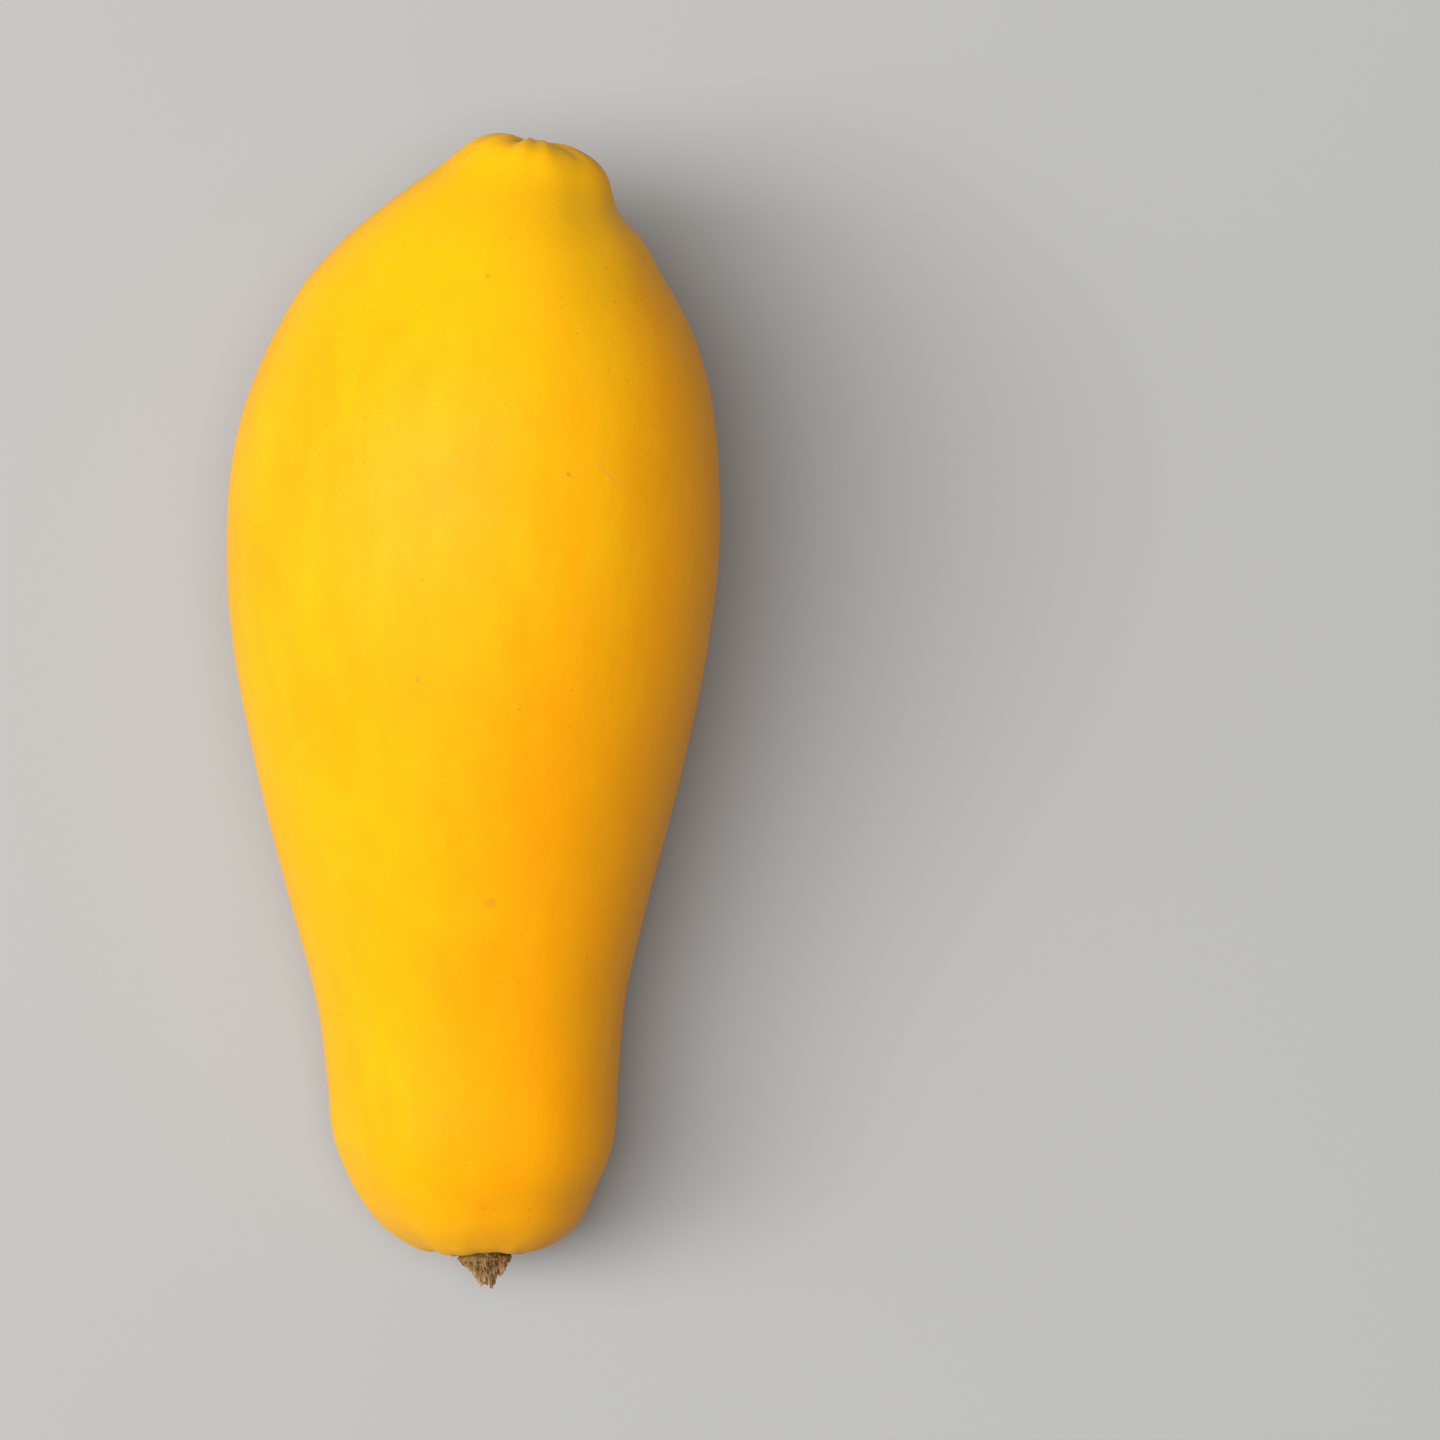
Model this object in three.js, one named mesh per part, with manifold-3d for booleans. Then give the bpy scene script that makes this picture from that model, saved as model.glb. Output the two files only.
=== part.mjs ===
// A ripe papaya lying on its side, in millimetres, +Z up.
//
// The long axis runs along +Y, from the stem end to the blossom end. The fruit is
// pear-shaped, so it lies on its belly with the neck tipped down, and the middle of
// the small flat that it rests on is the origin. Three solids: the fruit, the dried
// calyx in the dimple of its stem end, and the torn stub of the fruit stalk.

import * as THREE from 'three';
import { mergeVertices } from 'three/addons/utils/BufferGeometryUtils.js';
import Module from 'manifold-3d';

const wasm = await Module();
wasm.setup();

// ---- Driving dimensions -------------------------------------------------------

// Half outline of the fruit: [place along the axis from the stem end, radius].
const OUTLINE = [
  [0.0, 0.0], [0.0, 4.4],                      // floor of the dimple round the stalk
  [-1.6, 9.2],                                 // rim of the dimple
  [2.3, 16.0], [9.0, 20.3], [17.5, 23.6],      // shoulder
  [29.0, 24.5], [41.0, 25.8],                  // neck
  [58.0, 29.9], [80.0, 35.3], [100.0, 39.2],   // flare
  [121.0, 40.8], [140.0, 38.8], [154.0, 33.8], // belly
  [167.0, 25.4], [177.3, 14.2], [182.4, 9.5],  // snout
  [184.1, 5.2], [183.7, 2.2], [182.6, 0.0],    // rim and floor of the blossom pit
];
const HEIGHT_TO_WIDTH = 0.965;       // the round section is a little flattened

// The axis bends sideways, towards +X at both ends.
const STEM_BEND = { side: 1.0, end: 10 };
const BOW = { side: -1.0, end: 125 };
const LEAN = { side: 1.7, start: 125, end: 160 };
const HOOK = { side: 8.4, start: 160, end: 186.5 };

// The faces of both ends are out of square: their slopes sideways and upwards.
const STEM_SLANT = { side: 0.035, rise: 0.15, end: 16 };
const SNOUT_SLANT = { side: -0.19, rise: 0.11, start: 163, end: 184 };

// Five furrows run from end to end between five lobes.
const LOBES = 5;
const FIRST_FURROW = THREE.MathUtils.degToRad(42);   // at the blossom end
const FURROW_TWIST = THREE.MathUtils.degToRad(43);   // from the blossom end to the stem end
const FURROW_UNEVENNESS = 0.35;      // the deepest furrow is this much deeper than the mean
const DEEPEST_FURROW = THREE.MathUtils.degToRad(186);
const BELLY_FURROW = 0.45;
const FURROW_FADE = 30;              // the belly's furrows are full this far from each end
const STEM_FURROW = { depth: 0.4, from_end: 14, start: 2, full: 10 };
const BLOSSOM_FURROW = { depth: 1.3, from_end: 2.5 };
const FURROW_SHARPNESS = { belly: 1.1, blossom: 6, reach: 18 };

// Each lobe ends in a knob over a crease, close to the blossom pit.
const FIRST_LOBE = THREE.MathUtils.degToRad(6);
const KNOB_HEIGHTS = [1.2, 0, -0.2, 0.4, 0.5];
const KNOB = { from_end: 14, length: 5, half_angle: THREE.MathUtils.degToRad(26) };
const CREASE = { from_end: 23, length: 4, share: 0.3 };

// How the fruit lies: its axis rises towards the blossom end.
const TILT = 0.15;
const REST_AT = 102.6;               // place along the axis over the origin
const AXIS_HEIGHT = 36.75;           // height of the axis there, which cuts the flat
const TABLE_BLOCK = { side: 400, depth: 60 };

// Calyx: a thin disc with five dried teeth that lie over the rim of the dimple.
const CALYX_RIM = 4.7;
const CALYX_PROFILE = [
  [0.3, 0], [0.3, 3.6], [0.7, 4.5], [1.1, CALYX_RIM], [1.4, 4.3], [1.5, 3.8], [1.5, 0],
];
const CALYX_TOOTH = { reach: 2.2, start: 3.4, rise: 0.25, sharpness: 3.4 };
const FIRST_TOOTH = THREE.MathUtils.degToRad(78);

// Stalk: a stump that narrows to a torn tip, ringed by splinters of fibre.
const STALK_PROFILE = [[1.8, 0], [1.8, 4.0], [2.6, 4.7], [3.3, 4.2], [4.0, 3.1], [4.5, 1.7], [4.7, 0]];
const STALK_TIP = 8.4;
const SPLINTERS = 24;
const SPLINTER = { radius: 0.8, root: 2.2, fall: 0.27, ragged: 0.9, lean: 0.08, spread: 3.6 };
const SEED = 11;

// Colours of the skin, the dried calyx and the woody stalk.
const COLOURS = { skin: 0xf4b51f, husk: 0x8a7440, wood: 0x7d5429 };

const SIDES = { fruit: 50, calyx: 50, stalk: 15, splinter: 5 };
const FRUIT_RINGS = 76;
const END_DETAIL = 0.75;             // how strongly the fruit's rings crowd to its ends
const OUTLINE_STEPS = 2000;          // steps that measure the outline's length

// ---- Helpers ------------------------------------------------------------------

// Smooth step from 0 at start to 1 at end.
function ramp(value, start, end) {
  return THREE.MathUtils.smoothstep(value, start, end);
}

// Rises from 0 to 1 at the peak, then dies away.
function swell(value, peak) {
  return (value / peak) * Math.exp(1 - value / peak);
}

// Bell of height 1 about a centre.
function bell(value, centre, width) {
  return Math.exp(-(((value - centre) / width) ** 2));
}

// Signed difference of two angles, from -pi to pi.
function turn(angle, from) {
  return Math.atan2(Math.sin(angle - from), Math.cos(angle - from));
}

// Repeatable random numbers from 0 to 1.
function makeRandom(seed) {
  let state = seed;
  return () => {
    state = (state + 0x6d2b79f5) | 0;
    let mixed = Math.imul(state ^ (state >>> 15), 1 | state);
    mixed = (mixed + Math.imul(mixed ^ (mixed >>> 7), 61 | mixed)) ^ mixed;
    return ((mixed ^ (mixed >>> 14)) >>> 0) / 2 ** 32;
  };
}

// Manifold solid of a closed geometry: corners merged, collapsed triangles dropped.
function toSolid(geometry) {
  const bare = geometry.clone();
  bare.deleteAttribute('normal');
  bare.deleteAttribute('uv');
  const merged = mergeVertices(bare);
  const corners = merged.index.array;
  const kept = [];
  for (let i = 0; i < corners.length; i += 3) {
    const [a, b, c] = corners.slice(i, i + 3);
    if (a !== b && b !== c && c !== a) {
      kept.push(a, b, c);
    }
  }
  return new wasm.Manifold(new wasm.Mesh({
    numProp: 3,
    vertProperties: new Float32Array(merged.attributes.position.array),
    triVerts: new Uint32Array(kept),
  }));
}

function toGeometry(solid) {
  const mesh = solid.getMesh();
  const geometry = new THREE.BufferGeometry();
  geometry.setAttribute('position', new THREE.BufferAttribute(mesh.vertProperties, 3));
  geometry.setIndex(new THREE.BufferAttribute(mesh.triVerts, 1));
  geometry.computeVertexNormals();
  return geometry;
}

// Closed body of revolution about +Z from [height, radius] pairs, walked upwards.
function latheAboutZ(profile, sides) {
  const points = profile.map(([height, radius]) => new THREE.Vector2(radius, height));
  return new THREE.LatheGeometry(points, sides).rotateX(Math.PI / 2);
}

function makeMesh(name, geometry, material) {
  const mesh = new THREE.Mesh(geometry, material);
  mesh.name = name;
  return mesh;
}

// ---- Fruit --------------------------------------------------------------------

const outline = new THREE.CatmullRomCurve3(
  OUTLINE.map(([along, radius]) => new THREE.Vector3(radius, along, 0)),
);
outline.arcLengthDivisions = OUTLINE_STEPS;
const OUTLINE_LENGTH = outline.getLength();

// Sideways place of the axis.
function axisSide(along) {
  const bend = STEM_BEND.side * (1 - ramp(along, 0, STEM_BEND.end));
  const bow = BOW.side * Math.sin(Math.PI * THREE.MathUtils.clamp(along / BOW.end, 0, 1));
  const lean = LEAN.side * ramp(along, LEAN.start, LEAN.end);
  const hook = HOOK.side * ramp(along, HOOK.start, HOOK.end);
  return bend + bow + lean + hook;
}

// Depth of the furrows at an angle, given the distances from both ends over the skin.
function furrowDepth(angle, fromStem, fromBlossom) {
  const nearness = Math.exp(-fromBlossom / FURROW_SHARPNESS.reach);
  const sharpness = FURROW_SHARPNESS.belly + (FURROW_SHARPNESS.blossom - FURROW_SHARPNESS.belly) * nearness;
  const furrow = FIRST_FURROW + (FURROW_TWIST * fromBlossom) / OUTLINE_LENGTH;
  const wave = ((1 + Math.cos(LOBES * (angle - furrow))) / 2) ** sharpness;
  const belly = BELLY_FURROW * ramp(fromStem, 0, FURROW_FADE) * ramp(fromBlossom, 0, FURROW_FADE);
  const stem = STEM_FURROW.depth * swell(fromStem, STEM_FURROW.from_end)
    * ramp(fromStem, STEM_FURROW.start, STEM_FURROW.full);
  const blossom = BLOSSOM_FURROW.depth * swell(fromBlossom, BLOSSOM_FURROW.from_end);
  const unevenness = 1 + FURROW_UNEVENNESS * Math.cos(angle - DEEPEST_FURROW);
  return (belly + stem + blossom) * wave * unevenness;
}

// Height of the lobes' knobs over the outline, less the crease behind each.
function knobHeight(angle, fromBlossom) {
  const along = bell(fromBlossom, KNOB.from_end, KNOB.length)
    - CREASE.share * bell(fromBlossom, CREASE.from_end, CREASE.length);
  const fade = ramp(fromBlossom, 0, KNOB.from_end / 2);
  return KNOB_HEIGHTS.reduce((height, knob, lobe) => {
    const middle = FIRST_LOBE + (lobe * 2 * Math.PI) / LOBES;
    return height + knob * along * fade * bell(turn(angle, middle), 0, KNOB.half_angle);
  }, 0);
}

// How far the slanted faces of both ends shift a point of the skin along the axis.
function slantShift(place, across, up) {
  const atStem = 1 - ramp(place, 0, STEM_SLANT.end);
  const atSnout = ramp(place, SNOUT_SLANT.start, SNOUT_SLANT.end);
  return (STEM_SLANT.side * across + STEM_SLANT.rise * up) * atStem
    + (SNOUT_SLANT.side * across + SNOUT_SLANT.rise * up) * atSnout;
}

// Point of the skin at a share of the outline's length and an angle from +X to +Z.
function skinPoint(share, angle) {
  const { x: radius, y: along } = outline.getPointAt(share);
  const tangent = outline.getTangentAt(share);
  const fromStem = share * OUTLINE_LENGTH;
  const fromBlossom = OUTLINE_LENGTH - fromStem;
  const atPole = share === 0 || share === 1;
  const lift = atPole ? 0 : knobHeight(angle, fromBlossom) - furrowDepth(angle, fromStem, fromBlossom);
  const place = along - tangent.x * lift;
  const reach = radius + tangent.y * lift;
  const across = reach * Math.cos(angle);
  const up = HEIGHT_TO_WIDTH * reach * Math.sin(angle);
  return new THREE.Vector3(axisSide(place) + across, place + slantShift(place, across, up), up);
}

// Where the fruit's own frame lies in the world.
function fruitPose() {
  return new THREE.Matrix4()
    .makeTranslation(0, 0, AXIS_HEIGHT)
    .multiply(new THREE.Matrix4().makeRotationX(TILT))
    .multiply(new THREE.Matrix4().makeTranslation(0, -REST_AT, 0));
}

function makeFruit() {
  const shares = Array.from({ length: FRUIT_RINGS }, (_, ring) => {
    const even = ring / (FRUIT_RINGS - 1);
    return even - (END_DETAIL * Math.sin(2 * Math.PI * even)) / (2 * Math.PI);
  });
  shares[0] = 0;
  shares[FRUIT_RINGS - 1] = 1;
  const rings = shares.map((share) => {
    const { x: radius, y: along } = outline.getPointAt(share);
    return new THREE.Vector2(radius, along);
  });
  const geometry = new THREE.LatheGeometry(rings, SIDES.fruit);
  const skin = geometry.attributes.position;
  for (let i = 0; i < skin.count; i += 1) {
    const side = Math.floor(i / FRUIT_RINGS) % SIDES.fruit;
    const angle = Math.PI / 2 - (side * 2 * Math.PI) / SIDES.fruit;
    skin.setXYZ(i, ...skinPoint(shares[i % FRUIT_RINGS], angle).toArray());
  }
  geometry.applyMatrix4(fruitPose());
  const table = new THREE.BoxGeometry(TABLE_BLOCK.side, TABLE_BLOCK.side, TABLE_BLOCK.depth)
    .translate(0, 0, -TABLE_BLOCK.depth / 2);
  const flesh = new THREE.MeshStandardMaterial({ color: COLOURS.skin, roughness: 0.45, metalness: 0 });
  return makeMesh('fruit', toGeometry(toSolid(geometry).subtract(toSolid(table))), flesh);
}

// ---- Calyx and stalk, modelled with +Z pointing out of the stem end -----------

function makeCalyx() {
  const geometry = latheAboutZ(CALYX_PROFILE, SIDES.calyx);
  const points = geometry.attributes.position;
  for (let i = 0; i < points.count; i += 1) {
    const [x, y, z] = [points.getX(i), points.getY(i), points.getZ(i)];
    const radius = Math.hypot(x, y);
    const angle = Math.atan2(y, x);
    const tooth = ((1 + Math.cos(LOBES * (angle - FIRST_TOOTH))) / 2) ** CALYX_TOOTH.sharpness;
    const stretch = CALYX_TOOTH.reach * tooth * ramp(radius, CALYX_TOOTH.start, CALYX_RIM);
    const scale = radius > 0 ? (radius + stretch) / radius : 1;
    points.setXYZ(i, x * scale, y * scale, z + CALYX_TOOTH.rise * stretch);
  }
  const husk = new THREE.MeshStandardMaterial({ color: COLOURS.husk, roughness: 0.8, metalness: 0 });
  return makeMesh('calyx', toGeometry(toSolid(geometry)), husk);
}

// One splinter of fibre, leaning inwards. The torn tips fall away from the middle.
function makeSplinter(angle, spreadShare, random) {
  const spread = SPLINTER.spread * spreadShare;
  const tip = STALK_TIP - SPLINTER.fall * spread ** 2 - SPLINTER.ragged * random() * spreadShare;
  const height = tip - SPLINTER.root;
  return new THREE.ConeGeometry(SPLINTER.radius, height, SIDES.splinter)
    .rotateX(Math.PI / 2)
    .translate(0, 0, height / 2)
    .rotateZ(random() * Math.PI)
    .rotateY(-SPLINTER.lean * spreadShare)
    .translate(spread, 0, SPLINTER.root)
    .rotateZ(angle);
}

function makeStalk() {
  const random = makeRandom(SEED);
  const goldenAngle = Math.PI * (3 - Math.sqrt(5));
  let solid = toSolid(latheAboutZ(STALK_PROFILE, SIDES.stalk));
  for (let i = 0; i < SPLINTERS; i += 1) {
    const spreadShare = Math.sqrt(i / (SPLINTERS - 1));
    solid = solid.add(toSolid(makeSplinter(i * goldenAngle, spreadShare, random)));
  }
  const wood = new THREE.MeshStandardMaterial({ color: COLOURS.wood, roughness: 0.85, metalness: 0 });
  return makeMesh('stem', toGeometry(solid), wood);
}

// ---- The whole fruit ----------------------------------------------------------

const stemEnd = new THREE.Group();
stemEnd.position.set(axisSide(0), OUTLINE[0][0], 0).applyMatrix4(fruitPose());
stemEnd.rotation.x = Math.PI / 2 + TILT - Math.atan(STEM_SLANT.rise);
stemEnd.rotation.y = Math.atan(STEM_SLANT.side);
stemEnd.add(makeCalyx(), makeStalk());

const papaya = new THREE.Group();
papaya.add(makeFruit(), stemEnd);

export default papaya;
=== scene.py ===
import math

import bpy
import numpy as np
from bpy.props import FloatProperty, FloatVectorProperty, IntProperty, PointerProperty
from mathutils import Matrix, Vector, noise


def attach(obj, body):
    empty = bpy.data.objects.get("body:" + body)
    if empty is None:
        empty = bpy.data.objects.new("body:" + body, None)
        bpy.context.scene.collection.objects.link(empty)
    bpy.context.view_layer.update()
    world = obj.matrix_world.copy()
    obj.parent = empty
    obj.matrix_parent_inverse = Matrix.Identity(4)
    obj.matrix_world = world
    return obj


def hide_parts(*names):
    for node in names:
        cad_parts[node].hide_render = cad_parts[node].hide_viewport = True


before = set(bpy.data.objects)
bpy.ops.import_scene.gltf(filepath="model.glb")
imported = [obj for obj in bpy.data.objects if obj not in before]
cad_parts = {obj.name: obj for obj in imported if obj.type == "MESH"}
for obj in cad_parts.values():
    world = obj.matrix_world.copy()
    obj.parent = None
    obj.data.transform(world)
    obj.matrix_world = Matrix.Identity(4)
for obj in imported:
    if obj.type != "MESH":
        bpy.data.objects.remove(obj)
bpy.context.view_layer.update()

bl_info = {
    "name": "Papaya",
    "version": (1, 0, 0),
    "blender": (4, 5, 0),
    "location": "View3D > Sidebar > Papaya",
    "description": "Makes a ripe papaya with its calyx, torn stalk and a small studio",
    "category": "Add Mesh",
}

# ---- The fruit's form, in metres ------------------------------------------------
# The fruit's own frame has its axis along +Y from the stem end, and +Z up.

# Half outline: (place along the axis, radius).
OUTLINE = (
    (0.0000, 0.0000), (0.0000, 0.0044),  # floor of the dimple round the stalk
    (-0.0016, 0.0092),  # rim of the dimple
    (0.0023, 0.0160), (0.0090, 0.0203), (0.0175, 0.0236),  # shoulder
    (0.0290, 0.0245), (0.0410, 0.0258),  # neck
    (0.0580, 0.0299), (0.0800, 0.0353), (0.1000, 0.0392),  # flare
    (0.1210, 0.0408), (0.1400, 0.0388), (0.1540, 0.0338),  # belly
    (0.1670, 0.0254), (0.1773, 0.0142), (0.1824, 0.0095),  # snout
    (0.1841, 0.0052), (0.1837, 0.0022), (0.1826, 0.0000),  # rim and floor of the blossom pit
)
HEIGHT_TO_WIDTH = 0.965  # the round section is a little flattened

# The axis bends sideways: (how far, from where, to where).
STEM_BEND = (0.0010, 0.010, 0.000)
LEAN = (0.0017, 0.125, 0.160)
HOOK = (0.0084, 0.160, 0.1865)
BOW = (-0.0010, 0.125)  # how far, and the length from the stem end that it spans

# The faces of both ends are out of square: (slopes sideways and upwards, from where, to where).
STEM_SLANT = (0.035, 0.15, 0.016, 0.000)
SNOUT_SLANT = (-0.19, 0.11, 0.163, 0.184)

# Five furrows run from end to end between five lobes. Distances are over the skin from an end.
LOBES = 5
FIRST_FURROW = math.radians(42)  # at the blossom end
FURROW_TWIST = math.radians(43)  # from the blossom end to the stem end
FURROW_UNEVENNESS = 0.35  # the deepest furrow is this much deeper than the mean
DEEPEST_FURROW = math.radians(186)
BELLY_FURROW_FADE = 0.030  # the belly's furrows are full this far from each end
STEM_FURROW = (0.0004, 0.014, 0.002, 0.010)  # depth, where it is deepest, starts and is full
BLOSSOM_FURROW = (0.0013, 0.0025)  # depth, and where it is deepest
FURROW_SHARPNESS = (1.1, 6.0, 0.018)  # on the belly, at the blossom end, and its reach

# Each lobe ends in a knob over a crease, close to the blossom pit.
FIRST_LOBE = math.radians(6)
KNOB_HEIGHTS = (0.0012, 0.0000, -0.0002, 0.0004, 0.0005)
KNOB = (0.014, 0.005, math.radians(26))  # from the end, length, half angle
CREASE = (0.023, 0.004, 0.3)  # from the end, length, share of the knob's height

# Fine relief of the skin.
DENT_SIZE = 0.032
FINE_DENT_SIZE = 0.009
FINE_DENT_SHARE = 0.25  # height of the fine dents, as a share of the broad ones
DENT_SINK = 0.3  # how far the dents lie below the smooth skin, as a share of their height
PLEATS = (15, 0.00012, 0.0075, 0.0050)  # count, height, from the blossom end, half length
PUCKERS = (17, 0.00006, 0.0105, 0.0050)  # the same, from the stem end
PLEAT_WANDER = 2.5  # how far the dents turn the waves of the pleats, in radians
SKIN_CROWDING = 0.7  # how strongly the rows of skin crowd to both ends
POLE_RADIUS = 0.0001  # the skin isn't raised within this of its two poles

# How the fruit lies: its axis rises towards the blossom end.
TILT = 0.15
REST_AT = 0.1026  # place along the axis over the origin
AXIS_HEIGHT = 0.03675  # height of the axis there
FRUIT_POSE = (
    Matrix.Translation((0, 0, AXIS_HEIGHT))
    @ Matrix.Rotation(TILT, 4, "X")
    @ Matrix.Translation((0, -REST_AT, 0))
)


def ramp(value, start, end):
    """Smooth step from 0 at start to 1 at end."""
    share = np.clip((value - start) / (end - start), 0.0, 1.0)
    return share * share * (3.0 - 2.0 * share)


def swell(value, peak):
    """Rises from 0 to 1 at the peak, then dies away."""
    return value / peak * np.exp(1.0 - value / peak)


def bell(value, centre, width):
    """Bell of height 1 about a centre."""
    return np.exp(-(((value - centre) / width) ** 2))


def turn(angle, start):
    """Signed difference of two angles, from -pi to pi."""
    return np.arctan2(np.sin(angle - start), np.cos(angle - start))


class Outline:
    """A half outline, as a centripetal Catmull-Rom curve read by its length."""

    STEPS = 200  # curve samples between two points

    def __init__(self, points):
        points = np.array(points)
        ends = (2 * points[:1] - points[1:2], 2 * points[-1:] - points[-2:-1])
        points = np.concatenate((ends[0], points, ends[1]))
        pieces = [self.piece(points[i:i + 4]) for i in range(len(points) - 3)]
        self.samples = np.concatenate(pieces + [points[-2:-1]])
        gaps = np.linalg.norm(np.diff(self.samples, axis=0), axis=1)
        self.lengths = np.concatenate(([0.0], np.cumsum(gaps)))
        self.length = self.lengths[-1]
        self.tangents = np.gradient(self.samples, self.lengths, axis=0)

    def piece(self, points):
        """Samples of the curve from the second of four points up to the third."""
        before, start, end, after = points
        first, middle, last = (np.linalg.norm(b - a) ** 0.5 for a, b in zip(points, points[1:]))
        leave = (start - before) / first - (end - before) / (first + middle) + (end - start) / middle
        reach = (end - start) / middle - (after - start) / (middle + last) + (after - end) / last
        leave = leave * middle
        reach = reach * middle
        square = 3 * (end - start) - 2 * leave - reach
        cube = 2 * (start - end) + leave + reach
        t = np.linspace(0.0, 1.0, self.STEPS, endpoint=False)[:, None]
        return start + leave * t + square * t**2 + cube * t**3

    def read(self, lengths, table):
        return np.stack([np.interp(lengths, self.lengths, table[:, i]) for i in (0, 1)], axis=-1)

    def at(self, lengths):
        """(places, radii) and unit tangents at lengths along the curve."""
        tangents = self.read(lengths, self.tangents)
        tangents = tangents / np.linalg.norm(tangents, axis=-1, keepdims=True)
        return self.read(lengths, self.samples), tangents


def axis_side(along):
    """Sideways place of the fruit's axis."""
    side, span = BOW
    bow = side * np.sin(math.pi * np.clip(along / span, 0.0, 1.0))
    return bow + sum(side * ramp(along, start, end) for side, start, end in (STEM_BEND, LEAN, HOOK))


def furrow_wave(angle, from_stem, from_blossom):
    """Share of the furrows' depth at an angle: 1 along the furrows, 0 along the lobes."""
    on_belly, at_blossom, reach = FURROW_SHARPNESS
    sharpness = on_belly + (at_blossom - on_belly) * np.exp(-from_blossom / reach)
    furrow = FIRST_FURROW + FURROW_TWIST * from_blossom / (from_stem + from_blossom)
    return ((1 + np.cos(LOBES * (angle - furrow))) / 2) ** sharpness


def furrow_depth(angle, from_stem, from_blossom, belly_depth):
    """Depth of the furrows, given the distances from both ends over the skin."""
    depth, deepest, start, full = STEM_FURROW
    stem = depth * swell(from_stem, deepest) * ramp(from_stem, start, full)
    depth, deepest = BLOSSOM_FURROW
    blossom = depth * swell(from_blossom, deepest)
    fade = ramp(from_stem, 0, BELLY_FURROW_FADE) * ramp(from_blossom, 0, BELLY_FURROW_FADE)
    wave = furrow_wave(angle, from_stem, from_blossom)
    unevenness = 1 + FURROW_UNEVENNESS * np.cos(angle - DEEPEST_FURROW)
    return (belly_depth * fade + stem + blossom) * wave * unevenness


def knob_height(angle, from_blossom):
    """Height of the lobes' knobs over the outline, less the crease behind each."""
    from_end, length, half_angle = KNOB
    crease_from_end, crease_length, crease_share = CREASE
    along = bell(from_blossom, from_end, length)
    along = along - crease_share * bell(from_blossom, crease_from_end, crease_length)
    along = along * ramp(from_blossom, 0, from_end / 2)
    height = 0.0
    for lobe, knob in enumerate(KNOB_HEIGHTS):
        middle = FIRST_LOBE + lobe * 2 * math.pi / LOBES
        height = height + knob * along * bell(turn(angle, middle), 0, half_angle)
    return height


def skin_points(outline, lengths, angles, belly_depth):
    """Points of the smooth skin in the fruit's own frame: a row a length, a column an angle."""
    profile, tangents = outline.at(lengths)
    along, radius = profile[:, :1], profile[:, 1:]
    from_stem = lengths[:, None]
    from_blossom = outline.length - from_stem
    lift = knob_height(angles, from_blossom)
    lift = lift - furrow_depth(angles, from_stem, from_blossom, belly_depth)
    lift = lift * ramp(radius, 0, POLE_RADIUS)
    place = along - tangents[:, 1:] * lift
    reach = radius + tangents[:, :1] * lift
    across = reach * np.cos(angles)
    up = HEIGHT_TO_WIDTH * reach * np.sin(angles)
    shift = 0.0
    for side, rise, start, end in (STEM_SLANT, SNOUT_SLANT):
        shift = shift + (side * across + rise * up) * ramp(place, start, end)
    return np.stack((axis_side(place) + across, place + shift, up), axis=-1)


# ---- Calyx and stalk, with +Z pointing out of the stem end ------------------------

STEM_POSE = (
    FRUIT_POSE
    @ Matrix.Translation((float(axis_side(0.0)), OUTLINE[0][0], 0))
    @ Matrix.Rotation(math.pi / 2 - math.atan(STEM_SLANT[1]), 4, "X")
    @ Matrix.Rotation(math.atan(STEM_SLANT[0]), 4, "Y")
)

# Section of the calyx, from the middle of its underside: (height, radius).
CALYX_SECTION = (
    (0.0003, 0.0000), (0.0003, 0.0036), (0.0007, 0.0045), (0.0011, 0.0047),
    (0.0014, 0.0043), (0.0015, 0.0038), (0.0015, 0.0000),
)
CALYX_RIM_HEIGHT, CALYX_RIM = CALYX_SECTION[3]
CALYX_GRID = (44, 300)  # rings and sides
TOOTH_START = 0.0034
TOOTH_REACH = 0.0022
TOOTH_SHARPNESS = 3.4
TOOTH_RISE = 0.25  # rise for each metre that a tooth reaches out
FIRST_TOOTH = math.radians(78)
TOOTH_SHARES = (1.0, 0.75, 0.95, 0.6, 0.85)  # dried teeth are broken to different lengths
TOOTH_RAGGEDNESS = (0.25, 0.12)  # share of the reach, and its size on a rim of radius 1
MIDRIB = (0.00012, 0.07)  # height, half width in radians
HUSK_RIBS = (0.00012, 0.0007, 0.25)  # height, width, and how much slower they change outwards
HUSK_DENTS = (0.00010, 0.0012)  # height, size
HUSK_ROUGH = (0.002, 0.004)  # smooth within the first radius, rough past the second
HUSK_EDGE = (0.0045, 0.0068)  # whole within the first radius, a torn edge past the second

# Section of the torn stalk: (height, radius). Its foot stands in the calyx.
STALK_SECTION = (
    (0.0012, 0.0000), (0.0012, 0.0030), (0.0018, 0.0040), (0.0021, 0.0046), (0.0026, 0.0049),
    (0.0033, 0.0047), (0.0046, 0.0037), (0.0060, 0.0025), (0.0075, 0.0012), (0.0083, 0.0000),
)
STALK_GRID = (170, 340)  # rings and sides
STALK_FOOT = (0.0026, 0.0040)  # whole below the first height and torn above the second
STALK_CORE = (0.4, 0.0025)  # how torn it is at the axis, and the radius where it is fully torn
STALK_LUMPS = (0.00035, 0.0028, 0.00020)  # height, size, and how far all of them are drawn in
STALK_LEAN = (0.0008, 0.0030, 0.0083)  # how far the tip leans, and the heights from and up to which
FIBRE_BUNDLES = (  # thickness, how far their torn ends differ, depth of the gaps between them
    (0.00150, 0.0014, 0.00025),
    (0.00050, 0.0006, 0.00015),
    (0.00018, 0.0003, 0.00005),
)
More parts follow.
